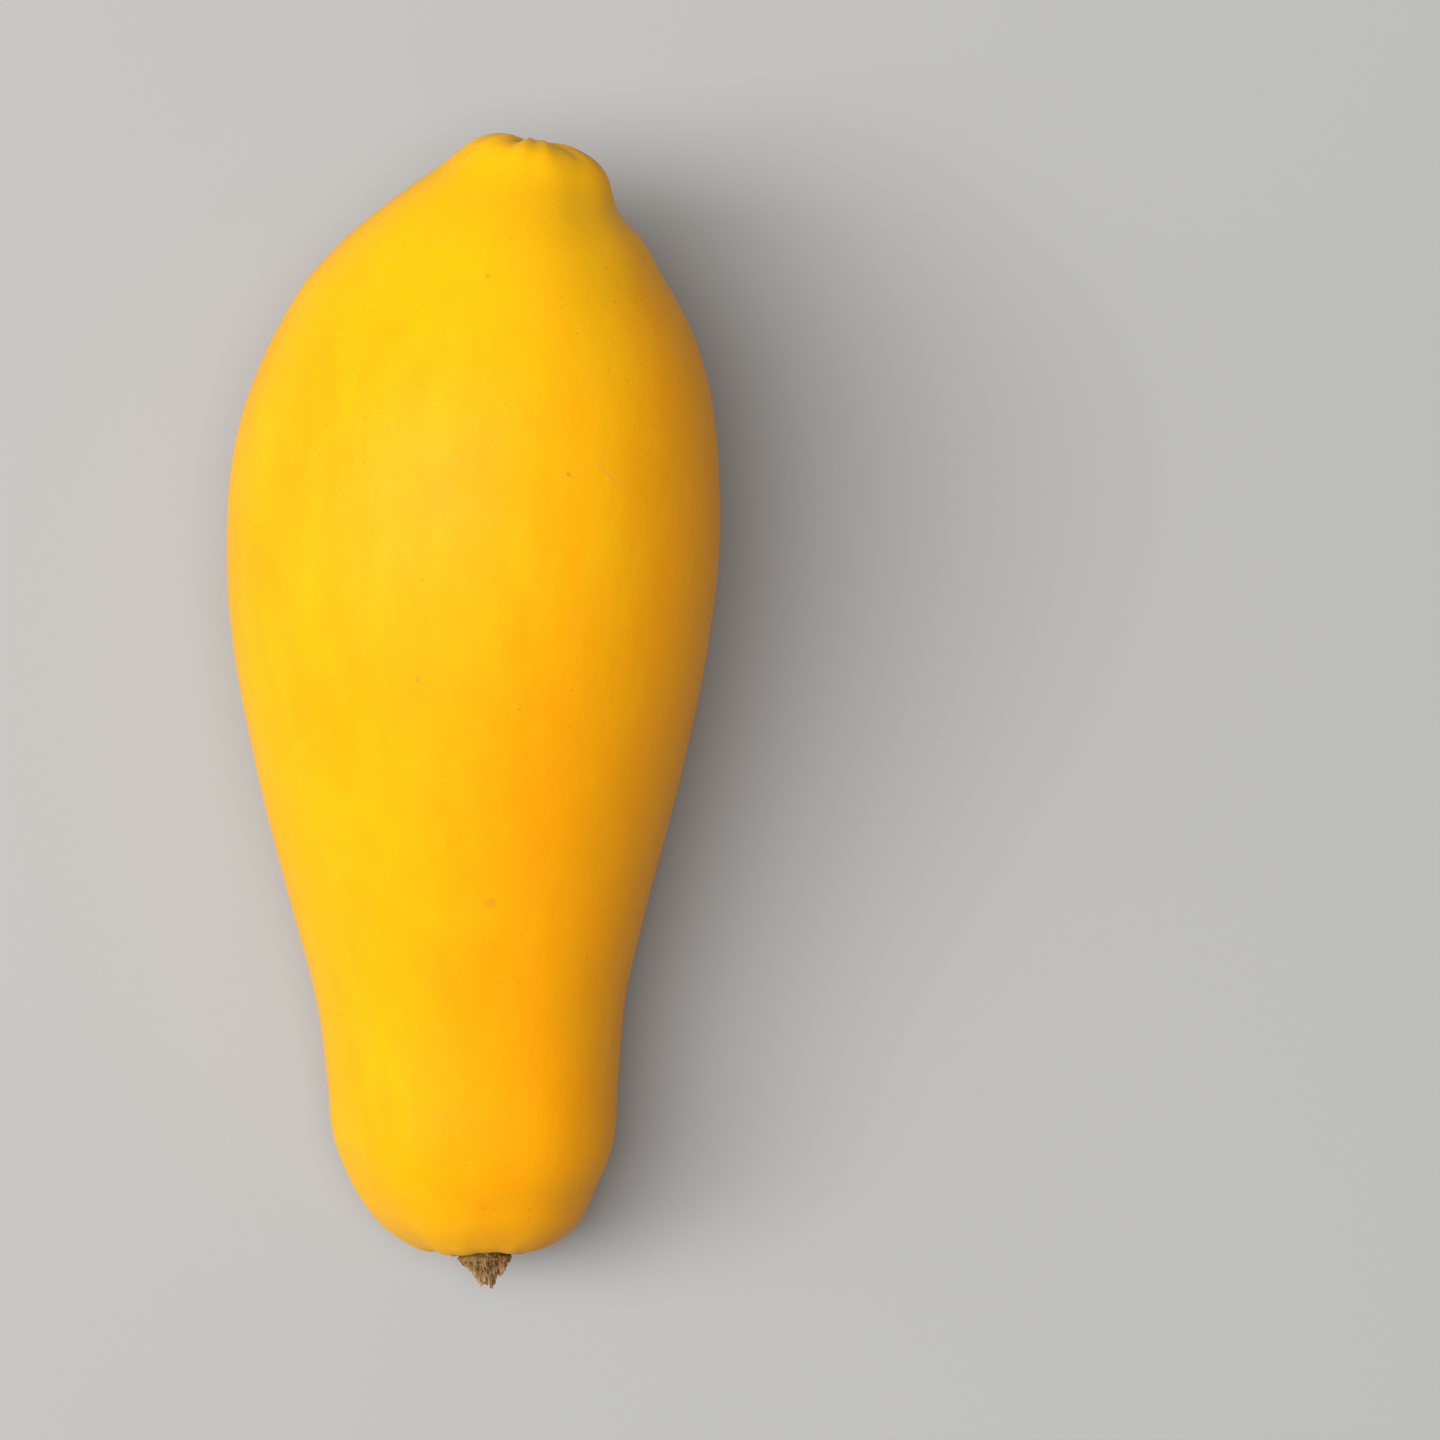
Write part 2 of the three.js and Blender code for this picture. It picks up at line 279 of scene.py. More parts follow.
FIBRE_STRETCH = 0.07  # how much slower the bundles change along the stalk than across it
FIBRE_GAP = 0.3  # width of the gaps, as a share of a bundle
END_GAP_DEPTH = 2  # the gaps are this many times deeper in the torn ends than in the sides
AXIS_CLEARANCE = 0.002  # the gaps in the sides fade out within this radius
DRAW_SPREAD = 97.0  # takes the middles of neighbouring bundles to unlike random draws
SHARP_FIBRE = math.radians(55)  # sharper edges than this aren't shaded smooth


def turned_section(section, grid):
    """Heights, radii and angles of a section that is turned about +Z into rings and sides."""
    rings, sides = grid
    outline = Outline(section)
    profile, _ = outline.at(np.linspace(0.0, outline.length, rings))
    angles = -np.linspace(0.0, 2 * math.pi, sides, endpoint=False)[None, :]
    return profile[:, :1], np.maximum(profile[:, 1:], 0.0), angles


def ring_points(radius, angles, height):
    """Points round +Z: a row a ring, a column an angle."""
    sides = np.broadcast_arrays(radius * np.cos(angles), radius * np.sin(angles), height)
    return np.stack(sides, axis=-1)


def closed_grid(name, points):
    """Closed smooth mesh from rings of points. The first and last ring are a single point."""
    rows, columns = points.shape[:2]
    vertices = [points[0, 0], *points[1:-1].reshape(-1, 3), points[-1, 0]]
    last = len(vertices) - 1
    faces = []
    for column in range(columns):
        beside = (column + 1) % columns
        faces.append((0, 1 + column, 1 + beside))
        faces.append((last, last - columns + beside, last - columns + column))
        for row in range(rows - 3):
            here = 1 + row * columns
            above = here + columns
            faces.append((here + column, above + column, above + beside, here + beside))
    mesh = bpy.data.meshes.new(name)
    mesh.from_pydata([tuple(vertex) for vertex in vertices], [], faces)
    mesh.validate()
    mesh.shade_smooth()
    return mesh


def set_attributes(mesh, **grids):
    """Stores numbers for the material to read: a grid of values for the grid of points."""
    for name, grid in grids.items():
        values = [grid[0, 0], *grid[1:-1].ravel(), grid[-1, 0]]
        attribute = mesh.attributes.new(name, "FLOAT", "POINT")
        attribute.data.foreach_set("value", np.array(values, dtype=np.float32))


def show(name, mesh, material, node):
    """Puts a piece in the scene in place of its CAD node."""
    mesh.materials.clear()
    mesh.materials.append(material)
    piece = bpy.data.objects.new(name, mesh)
    bpy.context.scene.collection.objects.link(piece)
    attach(piece, "root")
    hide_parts(node)


# ---- Shader maths -------------------------------------------------------------------

class Wire:
    """An output socket that arithmetic works on: each operator adds one Math node."""

    def __init__(self, finish, socket):
        self.finish = finish
        self.socket = socket

    def __add__(self, other):
        return self.finish.maths("ADD", self, other)

    def __sub__(self, other):
        return self.finish.maths("SUBTRACT", self, other)

    def __rsub__(self, other):
        return self.finish.maths("SUBTRACT", other, self)

    def __mul__(self, other):
        return self.finish.maths("MULTIPLY", self, other)

    def __truediv__(self, other):
        return self.finish.maths("DIVIDE", self, other)

    def __rtruediv__(self, other):
        return self.finish.maths("DIVIDE", other, self)

    def __abs__(self):
        return self.finish.maths("ABSOLUTE", self)

    __radd__ = __add__
    __rmul__ = __mul__


class Finish:
    """One material: a Principled shader and the nodes that feed it."""

    DRAW_EDGE = 0.01  # width of the edge between cells that have a mark and cells that don't
    DOT_EDGE = 0.3  # half width of a dot's soft edge, as a share of its radius

    def __init__(self, name, **sockets):
        self.material = bpy.data.materials.new(name)
        self.material.use_nodes = True
        self.tree = self.material.node_tree
        self.shader = self.tree.nodes["Principled BSDF"]
        self.set(**sockets)

    def set(self, **sockets):
        """Links or sets inputs of the shader, named with _ for each space."""
        self.feed(self.shader, {key.replace("_", " "): value for key, value in sockets.items()})

    def feed(self, node, sockets):
        """Links each named or numbered input to a Wire, or sets it to a value."""
        for key, value in sockets.items():
            socket = node.inputs[key]
            if isinstance(value, Wire):
                self.tree.links.new(value.socket, socket)
            else:
                socket.default_value = value

    def node(self, kind, settings=None, sockets=None, output=0):
        """Adds a node, sets its settings and then its inputs, and returns one output."""
        node = self.tree.nodes.new("ShaderNode" + kind)
        for key, value in (settings or {}).items():
            setattr(node, key, value)
        self.feed(node, sockets or {})
        return Wire(self, node.outputs[output])

    def maths(self, operation, *values):
        return self.node("Math", {"operation": operation}, dict(enumerate(values)))

    def vectors(self, operation, *values, output=0):
        return self.node("VectorMath", {"operation": operation}, dict(enumerate(values)), output)

    def step(self, value, start, end):
        """Smooth step of a value, from 0 at start to 1 at end. The two may be in either order."""
        if start > end:
            return 1 - self.step(value, end, start)
        settings = {"interpolation_type": "SMOOTHSTEP"}
        return self.node("MapRange", settings, {"Value": value, "From Min": start, "From Max": end})

    def mix(self, factor, first, second):
        """Colour between two colours, each a Wire or red, green and blue."""
        first, second = (rgba(colour) for colour in (first, second))
        return self.node("Mix", {"data_type": "RGBA"}, {0: factor, 6: first, 7: second}, output=2)

    def place(self, stretch=(1, 1, 1)):
        """Place on the piece in metres, stretched along each axis."""
        return self.vectors("MULTIPLY", self.node("TexCoord", output="Object"), stretch)

    def along(self, axis):
        """One coordinate of the place on the piece, in metres."""
        return self.node("SeparateXYZ", sockets={0: self.place()}, output=axis)

    def noise(self, size, detail=2.0, stretch=(1, 1, 1)):
        """Noise from about 0 to 1 whose blotches are about size metres across."""
        sockets = {"Vector": self.place(stretch), "Scale": 1 / size, "Detail": detail}
        return self.node("TexNoise", sockets=sockets)

    def cells(self, spacing, share):
        """Random cells: the way from the middle of each, its random colour, and 1 in a share of them."""
        sockets = {"Vector": self.place(), "Scale": 1 / spacing}
        middle = self.node("TexVoronoi", sockets=sockets, output="Position")
        draw = self.node("TexVoronoi", sockets=sockets, output="Color")
        red = self.node("SeparateColor", sockets={0: draw})
        chosen = self.step(red, share + self.DRAW_EDGE, share)
        return self.vectors("SUBTRACT", self.place(), middle), draw, chosen

    def dots(self, spacing, radius, share=1.0, raggedness=0.0):
        """1 inside small dots of a radius, 0 outside. Only a share of the cells has a dot."""
        away, draw, chosen = self.cells(spacing, share)
        green = self.node("SeparateColor", sockets={0: draw}, output=1)
        distance = self.vectors("LENGTH", away, output="Value") + (green - 0.5) * radius
        if raggedness:
            distance = distance + (self.noise(radius) - 0.5) * (radius * raggedness)
        return self.step(distance, radius * (1 + self.DOT_EDGE), radius * (1 - self.DOT_EDGE)) * chosen

    def scratches(self, spacing, length, width, share):
        """1 along short straight lines, 0 elsewhere. Only a share of the cells has a line."""
        away, draw, chosen = self.cells(spacing, share)
        across = self.vectors("NORMALIZE", self.vectors("SUBTRACT", draw, (0.5, 0.5, 0.5)))
        beside = abs(self.vectors("DOT_PRODUCT", away, across, output="Value"))
        distance = self.vectors("LENGTH", away, output="Value")
        return self.step(beside, width, width * 0.4) * self.step(distance, length, length * 0.5) * chosen

    def attribute(self, name):
        """A number that the mesh carries for each vertex."""
        return self.node("Attribute", {"attribute_name": name}, output="Fac")

    def bump(self, height, depth):
        """Fine relief: height from 0 to 1 stands for depth metres."""
        return self.node("Bump", sockets={"Height": height, "Distance": depth})


def rgba(colour):
    """Adds full opacity to red, green and blue. A Wire stays as it is."""
    return colour if isinstance(colour, Wire) else (*colour, 1.0)


# ---- Finishes -----------------------------------------------------------------------

# Noises: the size of their blotches, their detail, and how they are drawn out along the fruit.
DRIFT = {"size": 0.040, "detail": 3}
BLOTCHES = {"size": 0.012, "detail": 4, "stretch": (1, 0.6, 1)}
STREAKS = {"size": 0.0040, "detail": 3, "stretch": (1, 0.12, 1)}
WAX = {"size": 0.006, "detail": 3}
FINE_GRAIN = {"size": 0.0007, "detail": 3}
COARSE_GRAIN = {"size": 0.0030, "detail": 2, "stretch": (1, 0.5, 1)}
CORK = {"size": 0.0004}

# Marks on the skin, each in a share of the cells of a random mesh.
PORES = {"spacing": 0.0019, "radius": 0.00019}
SPECKS = {"spacing": 0.008, "radius": 0.00030, "share": 0.45, "raggedness": 1.2}
SPOTS = {"spacing": 0.024, "radius": 0.00070, "share": 0.30, "raggedness": 1.4}
SCUFFS = {"spacing": 0.022, "length": 0.006, "width": 0.00016, "share": 0.45}

# Bands of the skin: each is fully there from its second value on, and gone before its first.
# Painted light and shade: the belly's right half is painted paler, the neck's right half warmer, partly
# as painted shade.
RIGHT_HALF_LIGHT_AND_SHADE = (-0.030, 0.034)  # places across the fruit
NECK = (0.050, -0.070)  # places along the fruit
UNDERSIDE = (0.03, 0.0)  # heights
# Painted light: the left flank is painted paler.
PAINTED_LIGHT_LEFT_FLANK = (-0.70, -1.0)  # cosines of the angle round the axis from the right
# Painted shade: the right flank is painted warmer.
PAINTED_SHADE_RIGHT_FLANK = (0.45, 0.95)
PAST_SNOUT = (0.010, 0.060)  # distances over the skin from the blossom end
PAST_KNOBS = (0.020, 0.060)
# Painted shade in the furrows near the blossom end.
SHADED_FURROW_END = (0.011, 0.003)
SHOULDER = (0.045, 0.012)  # distances over the skin from the stem end
GREEN_END = (0.013, 0.004)
SCAR = (0.0017, 0.0022, 0.0012)  # radius, how far it runs on in the furrows, unevenness

# Where the furrows are coloured, with a green tint at the stem end and the scar and painted shade at the
# blossom end: distances over the skin from the stem end and the blossom end.
STEM_FURROW_COLOUR = (0.030, 0.008)
BLOSSOM_FURROW_COLOUR = (0.035, 0.010)

HUSK_PATCHES = {"size": 0.0016, "detail": 4}
HUSK_GRAIN = {"size": 0.0003, "detail": 3}
BARK_PATCHES = {"size": 0.0022, "detail": 3}
FIBRES = {"size": 0.0004, "detail": 3, "stretch": (1, 0.2, 1)}
BARE_FIBRE = (0.0038, 0.0062)  # heights between which the bark gives way to bare fibre
BARE_EDGE = (0.0030, 0.0020)  # how far that differs from bundle to bundle and fibre to fibre
FLOOR_GRAIN = {"size": 0.002, "detail": 2}
FLOOR_GRAIN_COLOUR = (0.4, 0.4, 0.4)


def skin_warmth_and_painted_light(finish, from_stem, from_blossom, drift, blotch):
    """How ripe the skin looks, with painted light and shade: 0 where it is yellow, 1 where it is orange.
    """
    side = finish.attribute("side")
    streak = finish.noise(**STREAKS)
    # Right half: painted light on the belly, partly painted shade on the neck.
    right = finish.step(finish.along("X") + (drift - 0.5) * 0.05, *RIGHT_HALF_LIGHT_AND_SHADE)
    neck = finish.step(finish.along("Y") + (drift - 0.5) * 0.06, *NECK)
    # The belly is warm on the left and painted paler on the right as painted light, the neck is warmer
    # on the right, partly its own colour and partly painted shade, and both ends are paler.
    warmth_and_painted_light = finish.step(from_blossom, *PAST_SNOUT) * (0.70 - neck * 0.15)
    warmth_and_painted_light = warmth_and_painted_light + right * (neck - 0.55) - finish.step(from_stem, *SHOULDER) * 0.30
    # The left flank is painted paler as painted light, and the right flank is painted warm all along as
    # painted shade.
    warmth_and_painted_light = warmth_and_painted_light - finish.step(side, *PAINTED_LIGHT_LEFT_FLANK) * 0.30
    # Painted shade: how warm the right flank is painted, less so near the knobs.
    painted_shade_warmth = 0.35 + finish.step(from_blossom, *PAST_KNOBS) * 0.50
    warmth_and_painted_light = warmth_and_painted_light + finish.step(side, *PAINTED_SHADE_RIGHT_FLANK) * (painted_shade_warmth - warmth_and_painted_light)
    warmth_and_painted_light = warmth_and_painted_light + finish.step(finish.along("Z"), *UNDERSIDE) * 0.10
    return warmth_and_painted_light + (blotch - 0.5) * 0.7 + (streak - 0.5) * 0.4


def skin_finish(colours):
    """Ripe skin: golden yellow that warms to orange, with painted light on the left flank and painted
    shade on the right flank and in the furrows by the blossom end, faintly freckled, with a corky
    blossom scar.
    """
    finish = Finish(
        "papaya_skin", IOR=1.42, Specular_IOR_Level=0.10,
        Subsurface_Weight=0.12, Subsurface_Scale=0.004, Subsurface_Radius=(1.0, 0.45, 0.1),
    )
    from_stem = finish.attribute("from_stem")
    from_blossom = finish.attribute("from_blossom")
    furrow = finish.attribute("furrow")
    drift = finish.noise(**DRIFT)
    blotch = finish.noise(**BLOTCHES)
    pores = finish.dots(**PORES) * finish.step(drift, 0.32, 0.6)
    specks = finish.dots(**SPECKS)
    spots = finish.dots(**SPOTS)
    scuffs = finish.scratches(**SCUFFS)
    green = finish.step(from_stem, *GREEN_END) * (0.35 + furrow * 0.4)
    # Painted shade: the furrows near the blossom end are darkened with the freckle colour.
    furrow_shade = furrow * finish.step(from_blossom, *SHADED_FURROW_END) * 0.25
    scar_reach = SCAR[0] + furrow * SCAR[1] + (blotch - 0.5) * SCAR[2]
    scar = finish.step(from_blossom / scar_reach, 1.25, 0.75)

    warmth_and_painted_light = skin_warmth_and_painted_light(finish, from_stem, from_blossom, drift, blotch)
    colour = finish.mix(finish.step(warmth_and_painted_light, 0.0, 1.0), colours.yellow, colours.orange)
    colour = finish.mix(pores * 0.30, colour, colours.freckle_and_furrow_shade)
    colour = finish.mix(specks * 0.50 + spots * 0.35, colour, colours.freckle_and_furrow_shade)
    colour = finish.mix(scuffs * 0.5, colour, colours.scuff)
    colour = finish.mix(green, colour, colours.green)
    # Painted shade in the furrows near the blossom end.
    colour = finish.mix(furrow_shade, colour, colours.freckle_and_furrow_shade)
    colour = finish.mix(scar, colour, colours.scar)

    wax = finish.noise(**WAX)
    roughness = 0.46 + (wax - 0.5) * 0.16 + pores * 0.1 + scuffs * 0.2 + scar * 0.4
    grain = finish.noise(**FINE_GRAIN) * 0.6 + finish.noise(**COARSE_GRAIN) * 0.8
    relief = grain - pores * 0.15 - spots * 0.3 - scuffs * 0.3 + scar * finish.noise(**CORK) * 3
    finish.set(Base_Color=colour, Roughness=roughness, Normal=finish.bump(relief, 0.00006))
    return finish.material


def husk_finish(colours):
    """Dried calyx: thin, dull and olive brown, darker and browner to the torn edges."""
    finish = Finish("papaya_husk", IOR=1.45)
    edge = finish.attribute("edge")
    vein = finish.attribute("vein")
    rib = finish.attribute("rib")
    patch = finish.noise(**HUSK_PATCHES)
    fine = finish.noise(**HUSK_GRAIN)
    torn = finish.step(edge + (patch - 0.5) * 1.4, 0.30, 0.80)
    colour = finish.mix(torn, colours.husk, colours.edge)
    colour = finish.mix(finish.step(rib, 0.45, 0.75) * 0.45 + vein * 0.4, colour, colours.vein)
    colour = finish.mix(finish.step(rib, 0.50, 0.25) * 0.5, colour, colours.edge)
    colour = finish.mix(finish.step(fine, 0.55, 0.75) * 0.4, colour, colours.edge)
    bump = finish.bump(fine + patch, 0.00012)
    finish.set(Base_Color=colour, Roughness=0.70 + fine * 0.25, Normal=bump)
    return finish.material


def stalk_finish(colours):
    """Torn stalk: brown and weathered bark at the foot, pale dry fibre towards the tips, and painted
    shade in the gaps between the bundles.
    """
    finish = Finish("papaya_stalk", IOR=1.45)
    height = finish.attribute("height")
    tint = finish.attribute("tint")
    gap = finish.attribute("gap")
    fibre = finish.noise(**FIBRES)
    patch = finish.noise(**BARK_PATCHES)
    bare = height + (tint - 0.5) * BARE_EDGE[0] + (fibre - 0.5) * BARE_EDGE[1]
    bark = finish.mix(finish.step(patch, 0.35, 0.65) * 0.7, colours.bark, colours.weathered)
    pale = finish.mix(0.35 + finish.step(tint, 0.25, 0.75) * 0.65, colours.bark, colours.fibre)
    colour = finish.mix(finish.step(bare, *BARE_FIBRE), bark, pale)
    colour = finish.mix(finish.step(fibre, 0.52, 0.75) * 0.35, colour, colours.fibre_streak_and_gap_shade)
    # Painted shade: the gaps between the bundles of fibre are darkened.
    colour = finish.mix(gap * 0.45, colour, colours.fibre_streak_and_gap_shade)
    bump = finish.bump(fibre, 0.00020)
    finish.set(Base_Color=colour, Roughness=0.72 + fibre * 0.2, Normal=bump)
    return finish.material


def floor_finish(colour):
    """Plain matt studio floor."""
    finish = Finish("studio_floor", Roughness=0.85)
    grain = finish.noise(**FLOOR_GRAIN)
    finish.set(Base_Color=finish.mix(grain * 0.06, colour, FLOOR_GRAIN_COLOUR))
    return finish.material


# ---- What a user may change ---------------------------------------------------------

def colour_property(name, description, default):
    return FloatVectorProperty(
        name=name, description=description, default=default,
        subtype="COLOR", size=3, min=0.0, max=1.0,
    )


class PapayaFruitSettings(bpy.types.PropertyGroup):
    rings: IntProperty(
        name="Rings", description="Rows of skin from end to end",
        default=280, min=80, max=300,
    )
    sides: IntProperty(
        name="Sides", description="Columns of skin round the fruit",
        default=320, min=80, max=330,
    )
    furrow_depth: FloatProperty(
        name="Furrow depth", description="Depth of the five furrows on the belly",
        default=0.00045, min=0.0, max=0.003, unit="LENGTH",
    )
    ripple: FloatProperty(
        name="Ripple", description="Height of the soft dents all over the skin",
        default=0.00022, min=0.0, max=0.001, unit="LENGTH",
    )
    # Yellow and orange also carry the painted light on the left flank and the painted shade on the right
    # flank.
    yellow: colour_property("Yellow", "Skin where it is palest", (0.89, 0.445, 0.004))
    orange: colour_property("Orange", "Skin where it is ripest", (0.87, 0.334, 0.002))
    green: colour_property("Green", "Unripe tint round the stalk", (0.52, 0.40, 0.03))
    # Freckle is also the painted shade in the furrows near the blossom end.
    freckle_and_furrow_shade: colour_property("Freckle", "Pores and dull furrows", (0.50, 0.20, 0.02))
    scuff: colour_property("Scuff", "Healed scratches", (0.62, 0.33, 0.08))
    scar: colour_property("Scar", "Corky blossom scar", (0.12, 0.055, 0.02))


class PapayaCalyxSettings(bpy.types.PropertyGroup):
    curl: FloatProperty(
        name="Curl", description="How far the tips of the teeth curl up",
        default=0.0004, min=0.0, max=0.001, unit="LENGTH",
    )
    husk: colour_property("Husk", "Dried leaf of the calyx", (0.30, 0.20, 0.06))
    edge: colour_property("Edge", "Darker torn edges", (0.10, 0.05, 0.02))
    vein: colour_property("Vein", "Paler midribs", (0.42, 0.31, 0.12))


class PapayaStalkSettings(bpy.types.PropertyGroup):
    bark: colour_property("Bark", "Brown outside of the stalk", (0.34, 0.155, 0.036))
    weathered: colour_property("Weathered", "Paler patches of old bark", (0.34, 0.235, 0.105))
    # Dark also serves as painted shade in the gaps between the bundles of fibre.
    fibre_streak_and_gap_shade: colour_property("Dark", "Dark gaps between the fibres", (0.08, 0.035, 0.012))
    fibre: colour_property("Fibre", "Pale torn fibre", (0.64, 0.43, 0.235))


class PapayaStageSettings(bpy.types.PropertyGroup):
    floor: colour_property("Floor", "Plain studio floor", (0.36, 0.36, 0.355))
    camera_height: FloatProperty(
        name="Camera height", description="Camera above the fruit's axis",
        default=1.2, min=0.5, max=3.0, unit="LENGTH",
    )
    key_power: FloatProperty(
        name="Key light", description="Power of the large soft light",
        default=60.0, min=0.0, unit="POWER",
    )
    fill_power: FloatProperty(
        name="Fill light", description="Power of the low soft light",
        default=18.0, min=0.0, unit="POWER",
    )
    sky: FloatProperty(
        name="Sky", description="Strength of the even light all round",
        default=0.19, min=0.0,
    )


# ---- Pieces -------------------------------------------------------------------------

def soft_noise(points, size, octaves=2):
    """Smooth noise from about -1 to 1 at each point, with lumps about size metres across."""
    values = [noise.fractal(Vector(point) / size, 1.0, 2.0, octaves) for point in points.reshape(-1, 3)]
    return np.array(values).reshape(points.shape[:-1])


def outward(points):
    """Unit normals of a grid of points, zero at its poles."""
    along = np.gradient(points, axis=0)
    around = np.roll(points, -1, axis=1) - np.roll(points, 1, axis=1)
    normals = np.cross(along, around)
    size = np.linalg.norm(normals, axis=-1, keepdims=True)
    tiny = 1e-12
    return normals / np.maximum(size, tiny) * (size > tiny)


def skin_relief(points, angles, from_stem, from_blossom, ripple):
    """Height of the dents and the pleats of both ends over the smooth skin."""
    broad = soft_noise(points, DENT_SIZE)
    fine = soft_noise(points, FINE_DENT_SIZE)
    relief = ripple * (broad - DENT_SINK) + FINE_DENT_SHARE * ripple * fine
    for (count, height, middle, length), distance in ((PLEATS, from_blossom), (PUCKERS, from_stem)):
        waves = np.cos(count * angles + PLEAT_WANDER * broad)
        relief = relief + height * bell(distance, middle, length) * waves
    return relief


def fruit_mesh(settings):
    """Skin of the fruit where it lies, cut flat where it touches the table."""
    outline = Outline(OUTLINE)
    even = np.linspace(0.0, 1.0, settings.rings)
    crowding = SKIN_CROWDING * np.sin(2 * math.pi * even) / (2 * math.pi)
    lengths = outline.length * (even - crowding)
    angles = np.linspace(0.0, 2 * math.pi, settings.sides, endpoint=False)[None, :]
    from_stem = np.repeat(lengths[:, None], settings.sides, axis=1)
    from_blossom = outline.length - from_stem
    points = skin_points(outline, lengths, angles, settings.furrow_depth)
    relief = skin_relief(points, angles, from_stem, from_blossom, settings.ripple)
    points = points + outward(points) * relief[..., None]
    pose = np.array(FRUIT_POSE)
    points = points @ pose[:3, :3].T + pose[:3, 3]
    points[..., 2] = np.maximum(points[..., 2], 0.0)
    mesh = closed_grid("papaya_fruit", points)
    at_stem = ramp(from_stem, *STEM_FURROW_COLOUR)
    at_blossom = ramp(from_blossom, *BLOSSOM_FURROW_COLOUR)
    set_attributes(
        mesh,
        from_stem=from_stem,
        from_blossom=from_blossom,
        furrow=furrow_wave(angles, from_stem, from_blossom) * np.maximum(at_stem, at_blossom),
        side=np.broadcast_to(np.cos(angles), from_stem.shape),
    )
    return mesh


def calyx_mesh(settings):
    """Dried calyx: a thin disc whose five broken teeth curl up."""
    height, radius, angles = turned_section(CALYX_SECTION, CALYX_GRID)
    rim = ring_points(1.0, angles, 0.0)
    outside = ramp(radius, TOOTH_START, CALYX_RIM)
    tooth = np.round((angles - FIRST_TOOTH) * LOBES / (2 * math.pi)).astype(int) % LOBES
    wave = ((1 + np.cos(LOBES * (angles - FIRST_TOOTH))) / 2) ** TOOTH_SHARPNESS
    share, size = TOOTH_RAGGEDNESS
    ragged = 1 + share * soft_noise(rim, size)
    stretch = TOOTH_REACH * np.array(TOOTH_SHARES)[tooth] * wave * outside * ragged
    reach = radius + stretch
    points = ring_points(reach, angles, height)

    rib_height, rib_width, rib_stretch = HUSK_RIBS
    ribs = soft_noise(CALYX_RIM * rim + (0.0, 0.0, rib_stretch) * reach[..., None], rib_width, octaves=3)
    dent_height, dent_size = HUSK_DENTS
    dents = dent_height * soft_noise(points, dent_size)
    midrib_height, midrib_width = MIDRIB
    from_middle = turn(angles * LOBES, FIRST_TOOTH * LOBES) / LOBES
    midrib = bell(from_middle, 0, midrib_width) * outside * (height > CALYX_RIM_HEIGHT)
    curl = settings.curl * (stretch / TOOTH_REACH) ** 2
    lift = TOOTH_RISE * stretch + curl + midrib_height * midrib
    points[..., 2] += lift + (dents + rib_height * ribs) * ramp(reach, *HUSK_ROUGH)
    mesh = closed_grid("papaya_calyx", points)
    set_attributes(mesh, edge=ramp(reach, *HUSK_EDGE), vein=midrib, rib=0.5 + 0.5 * ribs)
    mesh.transform(STEM_POSE)
    return mesh


def fibre_bundles(points, size):
    """Random number of the bundle at each point of the stalk, and 1 in the gaps between bundles."""
    draws, gaps = [], []
    for point in points.reshape(-1, 3):
        place = Vector((point[0], point[1], point[2] * FIBRE_STRETCH)) / size
        distances, middles = noise.voronoi(place)
        draws.append(noise.cell(middles[0] * DRAW_SPREAD))
        gaps.append(distances[1] - distances[0])
    shape = points.shape[:-1]
    return np.array(draws).reshape(shape), 1 - ramp(np.array(gaps).reshape(shape), 0.0, FIBRE_GAP)


def stalk_mesh():
    """Torn stub of the stalk: one closed skin, raised and cut into bundles of fibre."""
    height, radius, angles = turned_section(STALK_SECTION, STALK_GRID)
    whole = ring_points(radius, angles, height)
    lump_height, lump_size, drawn_in = STALK_LUMPS
    lumps = lump_height * soft_noise(whole, lump_size) - drawn_in
    points = whole + outward(whole) * lumps[..., None]
    at_axis, full_radius = STALK_CORE
    torn = at_axis + (1 - at_axis) * ramp(radius, 0, full_radius)
    torn = ramp(whole[..., 2], *STALK_FOOT) * torn
    cut = ramp(radius, 0, AXIS_CLEARANCE) / np.maximum(radius, AXIS_CLEARANCE)
    tint, gap = 0.0, 0.0
    for size, spread, depth in FIBRE_BUNDLES:
        draw, between = fibre_bundles(whole, size)
        points[..., 2] += (draw - 0.5) * spread * torn - between * depth * torn * END_GAP_DEPTH
        points[..., :2] *= 1 - (between * depth * cut)[..., None]
        tint = tint + draw / len(FIBRE_BUNDLES)
        gap = np.maximum(gap, between)
    lean, start, end = STALK_LEAN
    points[..., 0] += lean * ramp(whole[..., 2], start, end)
    mesh = closed_grid("papaya_stalk", points)
    mesh.set_sharp_from_angle(angle=SHARP_FIBRE)
    # The gaps are kept for the painted shade in them.
    set_attributes(mesh, height=points[..., 2], tint=tint, gap=gap)
    mesh.transform(STEM_POSE)
    return mesh


class PAPAYA_OT_fruit(bpy.types.Operator):
    """Make the fruit: its skin with lobes, furrows, dents and both ends"""

    bl_idname = "papaya.fruit"
    bl_label = "Fruit"

    def execute(self, context):
        settings = context.scene.papaya_fruit
        show("fruit_skin", fruit_mesh(settings), skin_finish(settings), "fruit")
        return {"FINISHED"}


class PAPAYA_OT_calyx(bpy.types.Operator):
    """Make the dried calyx in the dimple of the stem end"""

    bl_idname = "papaya.calyx"
    bl_label = "Calyx"

    def execute(self, context):
        settings = context.scene.papaya_calyx
        show("calyx_husk", calyx_mesh(settings), husk_finish(settings), "calyx")
        return {"FINISHED"}


